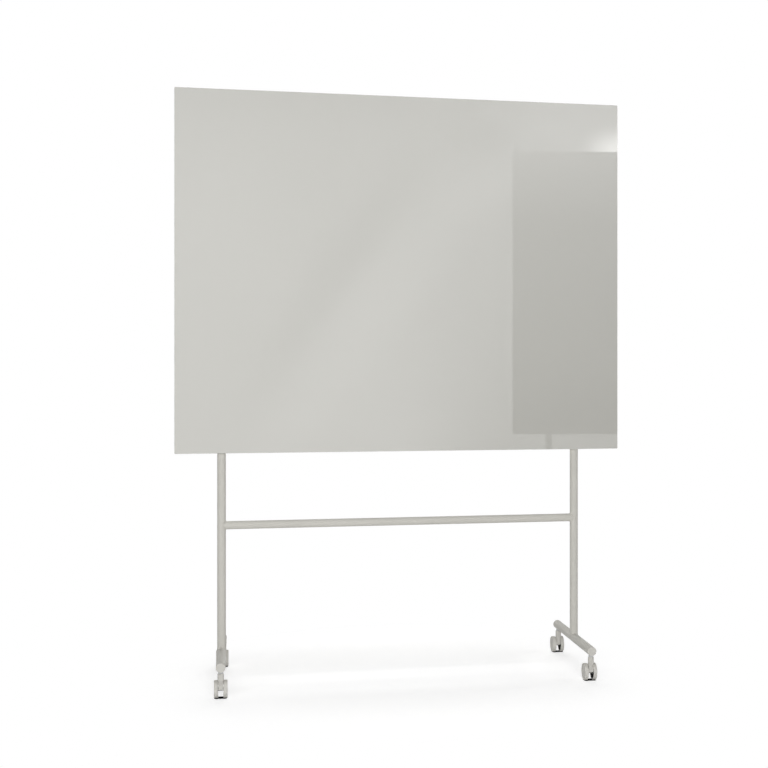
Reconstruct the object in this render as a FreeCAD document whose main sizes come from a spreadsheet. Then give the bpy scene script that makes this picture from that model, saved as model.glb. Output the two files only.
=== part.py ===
import FreeCAD, Part
import os
import re
import Sketcher

# Mobile whiteboard: a glass panel carried by a wheeled stand of round tube.
# X runs along the board, +Y to the back and +Z up.
# The origin is on the floor, below the middle of the whole board and stand.

# Driving dimensions: name, value in millimetres or degrees, meaning
SIZES = [
    ("board_width", 1500, "glass panel, across"),
    ("board_height", 1200, "glass panel, top to bottom"),
    ("board_top", 1960, "top edge of the glass above the floor"),
    ("glass_thickness", 4, "toughened glass"),
    ("glass_corner", 3, "corner radius of the glass"),
    ("glass_arris", 0.6, "ground bevel along the glass edges"),
    ("sheet_inset", 8, "back sheet inside the glass edge"),
    ("sheet_thickness", 1, "steel back sheet"),
    ("sheet_lip", 6, "folded lip round the back sheet"),
    ("sheet_corner", 4, "corner radius of the back sheet"),
    ("rail_inset", 90, "end of a mounting rail inside the glass edge"),
    ("rail_crown", 40, "raised middle of the rail, top to bottom"),
    ("rail_flange", 15, "flange on each side of the crown"),
    ("rail_depth", 9, "rail, front to back"),
    ("rail_thickness", 1.5, "steel of the rail"),
    ("rail_bend", 1.5, "inner bend radius of the rail"),
    ("rail_from_edge", 200, "rail middle from the board's upper or lower edge"),
    ("screw_diameter", 6, "board screws"),
    ("screw_hole", 6.6, "clearance hole for a board screw"),
    ("screw_head", 11, "button head, across"),
    ("screw_head_height", 3.3, "button head, thickness"),
    ("screw_head_rim", 0.8, "straight rim of the button head"),
    ("screw_head_flat", 6.6, "flat top of the button head, across"),
    ("screw_tip", 0.8, "screw tip beyond its nut, and its bevel"),
    ("socket_flats", 4, "hexagon socket, across flats"),
    ("socket_depth", 2, "hexagon socket, deep"),
    ("nut_width", 11, "square weld nut, across"),
    ("nut_thickness", 5, "square weld nut"),
    ("spacer_width", 26, "saddle spacer, across"),
    ("spacer_height", 34, "saddle spacer, top to bottom"),
    ("spacer_seat", 2, "saddle spacer where it is thinnest"),
    ("spacer_wrap", 4, "saddle spacer round the post"),
    ("spacer_corner", 4, "corner radius of the saddle spacer"),
    ("washer_diameter", 18, "saddle washer, across"),
    ("washer_seat", 1.8, "saddle washer where it is thinnest"),
    ("washer_wrap", 2, "saddle washer round the post"),
    ("post_diameter", 28, "post tube"),
    ("board_overhang", 150, "glass edge beyond a post's axis"),
    ("post_drop", 120, "top of the post tube below the board's upper edge"),
    ("crossbar_diameter", 27, "crossbar tube"),
    ("crossbar_height", 520, "crossbar axis above the floor"),
    ("base_diameter", 30, "base tube"),
    ("base_length", 508, "base tube without its plugs"),
    ("base_height", 101, "base tube axis above the floor"),
    ("tube_wall", 2, "wall of every tube"),
    ("plug_fit", 0.1, "radial clearance of caps and plugs in their tubes"),
    ("cap_head", 3, "post cap above the tube"),
    ("cap_shank", 18, "post cap inside the tube"),
    ("plug_head", 4, "base plug outside the tube"),
    ("plug_shank", 32, "base plug inside the tube"),
    ("plug_round", 1, "rounding of cap and plug heads"),
    ("stem_diameter", 10, "threaded part of a caster stem"),
    ("stem_fit", 0.05, "radial clearance of threads"),
    ("stem_hole", 10.6, "hole in the base tube for a stem"),
    ("stem_inset", 17, "stem axis from the outer end of the base plug"),
    ("stem_engage", 9, "stem above the base tube's axis"),
    ("collar_flats", 14, "hexagon collar of a stem, across flats"),
    ("collar_height", 5.2, "hexagon collar of a stem"),
    ("pin_diameter", 8, "swivel pin of a stem"),
    ("pin_length", 32, "swivel pin below the collar"),
    ("pin_bevel", 0.8, "bevels at the ends of stems and axles"),
    ("running_fit", 0.05, "radial clearance of pins that turn"),
    ("running_gap", 0.3, "gap beside faces that turn"),
    ("neck_diameter", 20, "neck of a caster housing"),
    ("neck_length", 20, "straight part of the neck"),
    ("neck_round", 1.6, "rounding of the neck's top edge"),
    ("spine_low", 38, "lower end of the housing's tapered spine above the floor"),
    ("spine_tip", 8, "spine across its lower end"),
    ("spine_bevel", 2.2, "bevel of the spine's lower end"),
    ("web_front", 3, "front of the housing's web before the stem axis"),
    ("web_low", 29, "lower edge of the housing's web above the floor"),
    ("web_thickness", 14.6, "housing between the wheels"),
    ("web_round", 1.2, "rounding of the housing's edges"),
    ("boss_diameter", 12, "housing round the axle"),
    ("arm_thickness", 5, "housing arm that carries the brake lever"),
    ("arm_width", 4.4, "housing arm, seen from the side"),
    ("arm_eye", 7.2, "eye of the housing arm, across"),
    ("caster_trail", 20, "axle behind the stem"),
    ("axle_diameter", 6, "axle"),
    ("wheel_diameter", 56, "wheel over its tread"),
    ("wheel_width", 12.6, "one wheel"),
    ("wheel_gap", 16.6, "between the two wheels"),
    ("tread_thickness", 3, "soft tread"),
    ("tread_round", 2, "rounding of the tread's outer edge"),
    ("tread_inner_round", 1.4, "rounding of the tread's inner edge"),
    ("rim_thickness", 3.5, "rim of the wheel core"),
    ("rim_set", 0.8, "rim inside the tread's inner face"),
    ("hub_diameter", 14, "hub of the wheel core"),
    ("hub_recess", 4, "outer end of the hub inside the wheel's face"),
    ("disc_inner", 4.8, "wheel disc from the wheel's inner face"),
    ("disc_thickness", 2.4, "wheel disc"),
    ("rib_height", 1.2, "ribs on the inside of the wheel disc"),
    ("rib_width", 1.8, "ribs on the inside of the wheel disc"),
    ("rib_count", 8, "ribs round the wheel disc"),
    ("cap_fit", 0.1, "radial clearance of the hub cap in its rim"),
    ("cap_skirt", 1.8, "wall of the hub cap's skirt"),
    ("cap_plate", 2, "plate of the hub cap"),
    ("cap_flange", 1.4, "flange of the hub cap on the rim"),
    ("cap_crown", 0.2, "hub cap's middle inside the wheel's face"),
    ("cap_edge", 0.9, "hub cap's edge inside the wheel's face"),
    ("cap_button", 15, "flat middle of the hub cap"),
    ("lever_width", 13.6, "brake lever between the wheels"),
    ("lever_wall", 4, "brake lever round its pivot and its lugs"),
    ("lever_slot", 0.5, "clearance beside the housing arm"),
    ("lever_relief", 1.5, "clearance round the eye of the housing arm"),
    ("pivot_diameter", 3.5, "pivot of the brake lever"),
    ("lug_diameter", 3.6, "brake lug"),
    ("lug_reach", 2.8, "brake lug inside the wheel"),
    ("lug_clearance", 2.4, "brake lug from the rim when released"),
    ("lug_angle", 45, "brake lug behind the axle, above the level"),
    ("lug_arm", 6.5, "brake lug from the pivot"),
    ("pedal_reach", 60, "end of the pedal behind the stem"),
    ("pedal_width", 26, "pedal behind the wheels"),
    ("pedal_length", 9, "wide part of the pedal"),
    ("pedal_rise", 7, "pedal's end above the pivot"),
    ("pedal_thickness", 3.6, "pedal"),
    ("pedal_round", 1.2, "rounding of the pedal's end"),
]

doc = FreeCAD.newDocument("GlassWhiteboard")
sheet = doc.addObject("Spreadsheet::Sheet", "Sizes")
for row, (alias, size, meaning) in enumerate(SIZES, start=1):
    sheet.set(f"A{row}", meaning)
    sheet.set(f"B{row}", str(size))
    sheet.setAlias(f"B{row}", alias)
doc.recompute()

NAMES = {alias for alias, size, meaning in SIZES}

# Places that follow from the sizes
POST_X = "(board_width / 2 - board_overhang)"
POST_Y = "(-(pedal_reach - stem_inset) / 2)"
POST_R = "(post_diameter / 2)"
POST_TOP = "(board_top - post_drop)"
BASE_R = "(base_diameter / 2)"
RAIL_BACK = f"({POST_R} + spacer_seat)"
SHEET_BACK = f"({RAIL_BACK} + rail_depth)"
GLASS_BACK = f"({SHEET_BACK} + sheet_thickness)"
GLASS_FRONT = f"({GLASS_BACK} + glass_thickness)"
HEAD_SEAT = f"({POST_R} + washer_seat)"
NUT_FRONT = f"({RAIL_BACK} + rail_thickness + nut_thickness)"
RAIL_HEIGHTS = {
    "upper": "(board_top - rail_from_edge)",
    "lower": "(board_top - board_height + rail_from_edge)",
}
STEM_Y = "(base_length / 2 + plug_head - stem_inset)"
COLLAR_TOP = f"(base_height - {BASE_R})"
COLLAR_LOW = f"({COLLAR_TOP} - collar_height)"
NECK_TOP = f"({COLLAR_LOW} - running_gap)"
PIN_LOW = f"({COLLAR_LOW} - pin_length)"
AXLE_Z = "(wheel_diameter / 2)"
WHEEL_IN = "(wheel_gap / 2)"
WHEEL_OUT = f"({WHEEL_IN} + wheel_width)"
RIM_OUTER = "(wheel_diameter / 2 - tread_thickness)"
RIM_INNER = f"({RIM_OUTER} - rim_thickness)"
HUB_R = "(hub_diameter / 2)"
HUB_IN = "(web_thickness / 2 + running_gap)"
HUB_OUT = f"({WHEEL_OUT} - hub_recess)"
DISC_IN = f"({WHEEL_IN} + disc_inner)"
DISC_OUT = f"({DISC_IN} + disc_thickness)"
RIM_SEAT = f"({WHEEL_OUT} - cap_edge - cap_flange)"
LUG_ORBIT = f"({RIM_INNER} - lug_diameter / 2 - lug_clearance)"
LUG_Y = f"(caster_trail + {LUG_ORBIT} * cos(lug_angle))"
LUG_Z = f"({AXLE_Z} + {LUG_ORBIT} * sin(lug_angle))"
PIVOT_Y = f"({LUG_Y} + lug_arm * sin(lug_angle))"
PIVOT_Z = f"({LUG_Z} - lug_arm * cos(lug_angle))"
SLOT_R = "(arm_eye / 2 + lever_relief)"

SIDES = {"left": f"-{POST_X}", "right": POST_X}
ENDS = {"front": f"({POST_Y} - {STEM_Y})", "rear": f"({POST_Y} + {STEM_Y})"}
ROUND_TOLERANCE = 1e-3

nodes = []


# Expressions and placing
def bound(text):
    """Expression with each size name pointed at its cell."""
    return re.sub(r"[a-z_]+", lambda word: f"Sizes.{word[0]}" if word[0] in NAMES else word[0], text)


def value(text):
    """Number that an expression gives now."""
    return float(sheet.evalExpression(bound(text)))


def new_body(label):
    """Empty body with its label."""
    body = doc.addObject("PartDesign::Body", label)
    body.Label = label
    return body


def place(thing, x="0", y="0", z="0", turn=0):
    """Bind a placement to expressions, turned about Z by some degrees."""
    thing.Placement.Rotation = FreeCAD.Rotation(FreeCAD.Vector(0, 0, 1), turn)
    for axis, text in zip("xyz", (x, y, z)):
        thing.setExpression(f"Placement.Base.{axis}", bound(text))


def keep(thing):
    """Count an object as a sub-part."""
    nodes.append(thing)
    return thing


# Sketches
def new_sketch(body, plane, offset="0"):
    """Sketch on an origin plane of its body, moved along the plane's normal."""
    sketch = body.newObject("Sketcher::SketchObject", f"{body.Name}_sketch")
    support = next(item for item in body.Origin.OriginFeatures if item.Role == plane)
    sketch.AttachmentSupport = [(support, "")]
    sketch.MapMode = "FlatFace"
    sketch.setExpression("AttachmentOffset.Base.z", bound(offset))
    return sketch


def hold(sketch, geometry, point, x, y):
    """Fix a point of a sketch at two bound distances from its origin."""
    for kind, text in (("DistanceX", x), ("DistanceY", y)):
        index = sketch.addConstraint(Sketcher.Constraint(kind, -1, 1, geometry, point, value(text)))
        sketch.setExpression(f"Constraints[{index}]", bound(text))


def circle(sketch, x, y, radius):
    """Circle with a bound centre and radius."""
    centre = FreeCAD.Vector(value(x), value(y), 0)
    index = sketch.addGeometry(Part.Circle(centre, FreeCAD.Vector(0, 0, 1), value(radius)), False)
    hold(sketch, index, 3, x, y)
    size = sketch.addConstraint(Sketcher.Constraint("Radius", index, value(radius)))
    sketch.setExpression(f"Constraints[{size}]", bound(radius))


def outline(sketch, corners):
    """Closed outline of straight lines between bound corners."""
    spots = [FreeCAD.Vector(value(x), value(y), 0) for x, y in corners]
    lines = []
    for start, end in zip(spots, spots[1:] + spots[:1]):
        lines.append(sketch.addGeometry(Part.LineSegment(start, end), False))
    for line, following in zip(lines, lines[1:] + lines[:1]):
        sketch.addConstraint(Sketcher.Constraint("Coincident", line, 2, following, 1))
    for line, (x, y) in zip(lines, corners):
        hold(sketch, line, 1, x, y)


def rectangle(sketch, width, height, middle="0"):
    """Rectangle about the sketch's vertical axis, with its middle at a height."""
    low = f"({middle} - {height} / 2)"
    high = f"({middle} + {height} / 2)"
    half = f"({width} / 2)"
    outline(sketch, [(f"-{half}", low), (half, low), (half, high), (f"-{half}", high)])


def hexagon(sketch, flats):
    """Hexagon about the sketch's origin, by its size across flats."""
    reach = f"({flats} / sqrt(3))"
    outline(sketch, [(f"{reach} * cos({turn})", f"{reach} * sin({turn})") for turn in range(0, 360, 60)])


# Features
def extrude(body, kind, sketch, length, symmetric=False, back=False):
    """Pad or Pocket of a bound length, or through all where the length is empty."""
    feature = body.newObject(f"PartDesign::{kind}", f"{body.Name}_{kind}")
    feature.Profile = sketch
    feature.SideType = "Symmetric" if symmetric else "One side"
    feature.Reversed = back
    if length:
        feature.setExpression("Length", bound(length))
    else:
        feature.Type = "ThroughAll"
    return feature


def pad(body, sketch, length, symmetric=False, back=False):
    """Add a sketch's area over a length."""
    return extrude(body, "Pad", sketch, length, symmetric, back)


def cut(body, sketch, length="", symmetric=False, back=False):
    """Take a sketch's area away, and make sure that something went."""
    doc.recompute()
    before = body.Shape.Volume
    feature = extrude(body, "Pocket", sketch, length, symmetric, back)
    doc.recompute()
    if body.Shape.Volume >= before:
        raise RuntimeError(f"{feature.Name} cuts nothing")
    return feature


def revolve(body, sketch, axis):
    """Turn a sketch about one of its own axes."""
    feature = body.newObject("PartDesign::Revolution", f"{body.Name}_turned")
    feature.Profile = sketch
    feature.ReferenceAxis = (sketch, [axis])
    feature.Angle = 360
    return feature


def dress(body, kind, size, chosen):
    """Fillet or Chamfer on the chosen edges of what the body is so far."""
    doc.recompute()
    base = body.Tip
    names = [f"Edge{index}" for index, edge in enumerate(base.Shape.Edges, start=1) if chosen(edge)]
    if not names:
        raise RuntimeError(f"{body.Label} has no edge for its {kind}")
    feature = body.newObject(f"PartDesign::{kind}", f"{body.Name}_{kind}")
    feature.Base = (base, names)
    feature.setExpression("Radius" if kind == "Fillet" else "Size", bound(size))
    return feature


def spans(edge, axis):
    """Length of an edge's box along an axis."""
    return getattr(edge.BoundBox, f"{axis.upper()}Length")


def flat_in(edge, axis, text):
    """True where an edge lies at one place along an axis."""
    middle = getattr(edge.BoundBox.Center, axis)
    return spans(edge, axis) < ROUND_TOLERANCE and abs(middle - value(text)) < ROUND_TOLERANCE


def ring(edge, axis, text, radius):
    """True for a round edge of one radius at one place along an axis."""
    if not isinstance(edge.Curve, Part.Circle):
        return False
    return flat_in(edge, axis, text) and abs(edge.Curve.Radius - value(radius)) < ROUND_TOLERANCE


def group(label, things):
    """One sub-part of several like solids."""
    compound = doc.addObject("Part::Compound", label)
    compound.Label = label
    compound.Links = things
    return keep(compound)


# Board
def glass_panel():
    """Toughened glass with ground edges and eased corners."""
    body = keep(new_body("glass_panel"))
    place(body, "0", f"{POST_Y} - {GLASS_FRONT}", "board_top - board_height / 2")
    face = new_sketch(body, "XZ_Plane")
    rectangle(face, "board_width", "board_height")
    pad(body, face, "glass_thickness", back=True)
    dress(body, "Fillet", "glass_corner", lambda edge: spans(edge, "y") > ROUND_TOLERANCE)
    dress(body, "Chamfer", "glass_arris", lambda edge: spans(edge, "y") < ROUND_TOLERANCE)


def back_sheet():
    """Steel sheet bonded to the glass, with a lip folded back all round."""
    body = keep(new_body("steel_back_sheet"))
    place(body, "0", f"{POST_Y} - {GLASS_BACK}", "board_top - board_height / 2")
    width = "(board_width - 2 * sheet_inset)"
    height = "(board_height - 2 * sheet_inset)"
    face = new_sketch(body, "XZ_Plane")
    rectangle(face, width, height)
    pad(body, face, "sheet_thickness + sheet_lip", back=True)
    tray = new_sketch(body, "XZ_Plane", "-sheet_thickness")
    rectangle(tray, f"({width} - 2 * sheet_thickness)", f"({height} - 2 * sheet_thickness)")
    cut(body, tray, "sheet_lip")
    for radius, reach in (
        ("sheet_corner - sheet_thickness", f"({width} / 2 - sheet_thickness)"),
        ("sheet_corner", f"({width} / 2)"),
    ):
        dress(body, "Fillet", radius, lambda edge: spans(edge, "y") > ROUND_TOLERANCE
              and abs(abs(edge.BoundBox.Center.x) - value(reach)) < ROUND_TOLERANCE)


def mounting_rail(name):
    """Hat-section rail bonded to the back sheet, open towards it."""
    body = keep(new_body(f"{name}_mounting_rail"))
    place(body, "0", f"{POST_Y} - {SHEET_BACK}", RAIL_HEIGHTS[name])
    crown = "(rail_crown / 2)"
    inside = "(rail_crown / 2 - rail_thickness)"
    edge_z = "(rail_crown / 2 + rail_flange)"
    floor_y = "(rail_depth - rail_thickness)"
    half = [("0", edge_z), ("rail_thickness", edge_z), ("rail_thickness", crown), ("rail_depth", crown)]
    lower = [(y, f"-{z}") for y, z in half]
    section = new_sketch(body, "YZ_Plane")
    outline(section, lower + half[::-1] + [
        ("0", inside), (floor_y, inside), (floor_y, f"-{inside}"), ("0", f"-{inside}")])
    pad(body, section, "board_width - 2 * rail_inset", symmetric=True)
    for radius, corners in (
        ("rail_bend", [("rail_thickness", crown), (floor_y, inside)]),
        ("rail_bend + rail_thickness", [("rail_depth", crown), ("0", inside)]),
    ):
        dress(body, "Fillet", radius, lambda edge: any(
            flat_in(edge, "y", y) and abs(abs(edge.BoundBox.Center.z) - value(z)) < ROUND_TOLERANCE
            and spans(edge, "z") < ROUND_TOLERANCE for y, z in corners))
    holes = new_sketch(body, "XZ_Plane")
    for x in SIDES.values():
        circle(holes, x, "0", "screw_hole / 2")
    cut(body, holes, symmetric=True)


def at_fixings(make, name):
    """Four like pieces where the two posts cross the two rails."""
    things = []
    for side, x in SIDES.items():
        for level, z in RAIL_HEIGHTS.items():
            body = new_body(f"{name}_{level}_{side}")
            place(body, x, POST_Y, z)
            make(body)
            things.append(body)
    return things


def weld_nut(body):
    """Square nut welded inside the rail's crown."""
    face = new_sketch(body, "XZ_Plane", NUT_FRONT)
    rectangle(face, "nut_width", "nut_width")
    circle(face, "0", "0", "screw_diameter / 2 + stem_fit")
    pad(body, face, "nut_thickness", back=True)


def saddle_spacer(body):
    """Moulded spacer, flat on the rail and hollowed to the post."""
    face = new_sketch(body, "XZ_Plane", RAIL_BACK)
    rectangle(face, "spacer_width", "spacer_height")
    pad(body, face, "spacer_seat + spacer_wrap", back=True)
    dress(body, "Fillet", "spacer_corner", lambda edge: spans(edge, "y") > ROUND_TOLERANCE)
    saddle_cuts(body)


def saddle_washer(body):
    """Round washer hollowed to the back of the post."""
    face = new_sketch(body, "XZ_Plane", f"washer_wrap - {POST_R}")
    circle(face, "0", "0", "washer_diameter / 2")
    pad(body, face, "washer_wrap + washer_seat", back=True)
    saddle_cuts(body)


def saddle_cuts(body):
    """Hollow for the post and hole for the screw."""
    hollow = new_sketch(body, "XY_Plane")
    circle(hollow, "0", "0", POST_R)
    cut(body, hollow, symmetric=True)
    hole = new_sketch(body, "XZ_Plane")
    circle(hole, "0", "0", "screw_hole / 2")
    cut(body, hole, symmetric=True)


def board_screw(body):
    """Button-head screw from behind the post into the weld nut."""
    radius = "(screw_diameter / 2)"
    tip = f"(-{NUT_FRONT} - screw_tip)"
    top = f"({HEAD_SEAT} + screw_head_height)"
    profile = new_sketch(body, "XY_Plane")
    outline(profile, [
        ("0", tip), (f"{radius} - screw_tip", tip), (radius, f"{tip} + screw_tip"), (radius, HEAD_SEAT),
        ("screw_head / 2", HEAD_SEAT), ("screw_head / 2", f"{HEAD_SEAT} + screw_head_rim"),
        ("screw_head_flat / 2", top), ("0", top)])
    revolve(body, profile, "V_Axis")
    socket = new_sketch(body, "XZ_Plane", f"-{top}")
    hexagon(socket, "socket_flats")
    cut(body, socket, "socket_depth", back=True)


# Stand
def tube(body, plane, diameter, length, symmetric):
    """Round tube along a plane's normal."""
    section = new_sketch(body, plane)
    circle(section, "0", "0", f"{diameter} / 2")
    circle(section, "0", "0", f"{diameter} / 2 - tube_wall")
    pad(body, section, length, symmetric=symmetric)


def post(side):
    """Upright tube, coped onto its base tube and drilled for the board screws."""
    body = keep(new_body(f"{side}_post"))
    place(body, SIDES[side], POST_Y, "base_height")
    tube(body, "XY_Plane", "post_diameter", f"{POST_TOP} - base_height", False)
    cope = new_sketch(body, "XZ_Plane")
    circle(cope, "0", "0", BASE_R)
    cut(body, cope, symmetric=True)
    holes = new_sketch(body, "XZ_Plane")
    for height in RAIL_HEIGHTS.values():
        circle(holes, "0", f"{height} - base_height", "screw_hole / 2")
    cut(body, holes, symmetric=True)


def stopper(body, plane, axis, outer, head, shank):
    """Turned cap with a shank inside a tube and a rounded head on its end."""
    inner = f"({outer} / 2 - tube_wall - plug_fit)"
    profile = new_sketch(body, plane)
    outline(profile, [
        ("0", f"-{shank}"), (inner, f"-{shank}"), (inner, "0"), (f"{outer} / 2", "0"),
        (f"{outer} / 2", head), ("0", head)])
    revolve(body, profile, "V_Axis")
    dress(body, "Fillet", "plug_round", lambda edge: ring(edge, axis, head, f"{outer} / 2"))


def post_cap(side):
    """Cap in the top of a post."""
    body = keep(new_body(f"{side}_post_cap"))
    place(body, SIDES[side], POST_Y, POST_TOP)
    stopper(body, "XZ_Plane", "z", "post_diameter", "cap_head", "cap_shank")


def crossbar():
    """Level tube, coped between the posts."""
    body = keep(new_body("crossbar"))
    place(body, "0", POST_Y, "crossbar_height")
    tube(body, "YZ_Plane", "crossbar_diameter", f"2 * {POST_X}", True)
    copes = new_sketch(body, "XY_Plane")
    for x in SIDES.values():
        circle(copes, x, "0", POST_R)
    cut(body, copes, symmetric=True)


def base_tube(side):
    """Foot of one post, drilled from below for the caster stems."""
    body = keep(new_body(f"{side}_base_tube"))
    place(body, SIDES[side], POST_Y, "base_height")
    tube(body, "XZ_Plane", "base_diameter", "base_length", True)
    holes = new_sketch(body, "XY_Plane")
    for sign in ("", "-"):
        circle(holes, "0", f"{sign}{STEM_Y}", "stem_hole / 2")
    cut(body, holes)


def base_plug(end, side):
    """Plug in one end of a base tube, bored across for the caster stem."""
    body = keep(new_body(f"{end}_{side}_base_plug"))
    sign = "-" if end == "front" else "+"
    place(body, SIDES[side], f"{POST_Y} {sign} base_length / 2", "base_height", 180 if end == "front" else 0)
    stopper(body, "XY_Plane", "y", "base_diameter", "plug_head", "plug_shank")
    hole = new_sketch(body, "XY_Plane")
    circle(hole, "0", "plug_head - stem_inset", "stem_diameter / 2 + stem_fit")
    cut(body, hole, symmetric=True)


# Casters
def caster_stem(corner, x, y):
    """Steel stem: thread in the plug, hexagon collar, swivel pin in the housing."""
    body = keep(new_body(f"{corner}_caster_stem"))
    place(body, x, y)
    thread = "(stem_diameter / 2)"
    pin = "(pin_diameter / 2)"
    top = "(base_height + stem_engage)"
    profile = new_sketch(body, "XZ_Plane")
    outline(profile, [
        ("0", PIN_LOW), (f"{pin} - pin_bevel", PIN_LOW), (pin, f"{PIN_LOW} + pin_bevel"), (pin, COLLAR_LOW),
        (thread, COLLAR_LOW), (thread, f"{top} - pin_bevel"), (f"{thread} - pin_bevel", top), ("0", top)])
    revolve(body, profile, "V_Axis")
    collar = new_sketch(body, "XY_Plane", COLLAR_LOW)
    hexagon(collar, "collar_flats")
    pad(body, collar, "collar_height")


def caster_housing(corner, x, y):
    """Moulded housing: round neck, tapered spine, web between the wheels and an arm for the brake."""
    body = keep(new_body(f"{corner}_caster_housing"))
    place(body, x, y)
    neck = "(neck_diameter / 2)"
    tip = "(spine_tip / 2)"
    neck_low = f"({NECK_TOP} - neck_length)"
    profile = new_sketch(body, "XZ_Plane")
    outline(profile, [
        ("0", "spine_low"), (f"{tip} - spine_bevel", "spine_low"), (tip, "spine_low + spine_bevel"),
        (neck, neck_low), (neck, NECK_TOP), ("0", NECK_TOP)])
    revolve(body, profile, "V_Axis")
    dress(body, "Fillet", "neck_round", lambda edge: ring(edge, "z", NECK_TOP, neck))
    boss = "(boss_diameter / 2)"
    web = new_sketch(body, "YZ_Plane")
    outline(web, [
        ("-web_front", "web_low"), (f"caster_trail + {boss}", "web_low"),
        (f"caster_trail + {boss}", f"{AXLE_Z} + boss_diameter"), (neck, neck_low), ("-web_front", neck_low)])
    pad(body, web, "web_thickness", symmetric=True)
    dress(body, "Fillet", "web_round", lambda edge: spans(edge, "x") < ROUND_TOLERANCE
          and edge.BoundBox.Center.y > value("caster_trail")
          and edge.BoundBox.Center.z > value(AXLE_Z))
    round_boss = new_sketch(body, "YZ_Plane")
    circle(round_boss, "caster_trail", AXLE_Z, boss)
    pad(body, round_boss, "web_thickness", symmetric=True)
    arm = new_sketch(body, "YZ_Plane")
    half = "(arm_width / 2)"
    outline(arm, [
        ("caster_trail", f"{AXLE_Z} - {half}"), (PIVOT_Y, f"{PIVOT_Z} - {half}"),
        (PIVOT_Y, f"{PIVOT_Z} + {half}"), ("caster_trail", f"{AXLE_Z} + {half}")])
    pad(body, arm, "arm_thickness", symmetric=True)
    eye = new_sketch(body, "YZ_Plane")
    circle(eye, PIVOT_Y, PIVOT_Z, "arm_eye / 2")
    pad(body, eye, "arm_thickness", symmetric=True)
    bore = new_sketch(body, "XY_Plane", NECK_TOP)
    circle(bore, "0", "0", "pin_diameter / 2 + running_fit")
    cut(body, bore, "pin_length")
    holes = new_sketch(body, "YZ_Plane")
    circle(holes, "caster_trail", AXLE_Z, "axle_diameter / 2")
    circle(holes, PIVOT_Y, PIVOT_Z, "pivot_diameter / 2 + running_fit")
    cut(body, holes, symmetric=True)


def caster_axle(corner, x, y):
    """Steel pin through the housing, with a wheel on each end."""
    body = keep(new_body(f"{corner}_caster_axle"))
    place(body, x, y)
    section = new_sketch(body, "YZ_Plane")
    circle(section, "caster_trail", AXLE_Z, "axle_diameter / 2")
    pad(body, section, f"2 * {HUB_OUT}", symmetric=True)
    dress(body, "Chamfer", "pin_bevel", lambda edge: isinstance(edge.Curve, Part.Circle))


def brake_lever(corner, x, y):
    """Forked lever: pivot in the housing's eye, lugs inside the wheels, pedal behind them."""
    body = keep(new_body(f"{corner}_brake_lever"))
    place(body, x, y)
    half = "(lever_wall / 2)"
    top = f"({PIVOT_Z} + pedal_rise)"
    low = f"({top} - pedal_thickness)"
    neck = "(pedal_reach - pedal_length)"
    fork = new_sketch(body, "YZ_Plane")
    outline(fork, [
        (f"{PIVOT_Y} - {half}", f"{PIVOT_Z} - lever_wall"), (f"{PIVOT_Y} + {half}", f"{PIVOT_Z} - lever_wall"),
        (neck, low), (neck, top), (f"{LUG_Y} + lever_wall", f"{LUG_Z} + {half} / 2"),
        (LUG_Y, f"{LUG_Z} + {half}"), (f"{LUG_Y} - {half}", LUG_Z)])
    pad(body, fork, "lever_width", symmetric=True)
    pedal = new_sketch(body, "YZ_Plane")
    outline(pedal, [(neck, low), ("pedal_reach", low), ("pedal_reach", top), (neck, top)])
    pad(body, pedal, "pedal_width", symmetric=True)
    dress(body, "Fillet", "pedal_round", lambda edge: flat_in(edge, "y", "pedal_reach"))
    slot = new_sketch(body, "YZ_Plane")
    circle(slot, PIVOT_Y, PIVOT_Z, SLOT_R)
    cut(body, slot, "arm_thickness + 2 * lever_slot", symmetric=True)
    pivot = new_sketch(body, "YZ_Plane")
    circle(pivot, PIVOT_Y, PIVOT_Z, "pivot_diameter / 2")
    pad(body, pivot, "lever_width", symmetric=True)
    lugs = new_sketch(body, "YZ_Plane")
    circle(lugs, LUG_Y, LUG_Z, "lug_diameter / 2")
    pad(body, lugs, f"2 * ({WHEEL_IN} + lug_reach)", symmetric=True)


def turned_on_axle(label, x, y, turn, corners):
    """Body turned about the axle; its profile gives places along the axle and radii."""
    body = keep(new_body(label))
    place(body, x, f"{y} + caster_trail", AXLE_Z, turn)
    profile = new_sketch(body, "XY_Plane")
    outline(profile, corners)
    revolve(body, profile, "H_Axis")
    return body


def wheel_core(label, x, y, turn):
    """Moulded core: hub, ribbed disc and rim."""
    bore = "(axle_diameter / 2 + running_fit)"
    rim_in = f"({WHEEL_IN} + rim_set)"
    body = turned_on_axle(label, x, y, turn, [
        (HUB_IN, bore), (HUB_OUT, bore), (HUB_OUT, HUB_R), (DISC_OUT, HUB_R), (DISC_OUT, RIM_INNER),
        (RIM_SEAT, RIM_INNER), (RIM_SEAT, RIM_OUTER), (rim_in, RIM_OUTER), (rim_in, RIM_INNER),
        (DISC_IN, RIM_INNER), (DISC_IN, HUB_R), (HUB_IN, HUB_R)])
    rib = new_sketch(body, "YZ_Plane", f"{DISC_IN} - rib_height")
    rectangle(rib, "rib_width", f"({RIM_INNER} - {HUB_R} + rib_width)", f"(({RIM_INNER} + {HUB_R}) / 2)")
    raised = pad(body, rib, "rib_height + disc_thickness / 2")
    doc.recompute()
    ribs = body.newObject("PartDesign::PolarPattern", f"{body.Name}_ribs")
    ribs.Originals = [raised]
    ribs.Axis = (next(item for item in body.Origin.OriginFeatures if item.Role == "X_Axis"), [""])
    ribs.Angle = 360
    ribs.setExpression("Occurrences", bound("rib_count"))
    body.Tip = ribs


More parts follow.
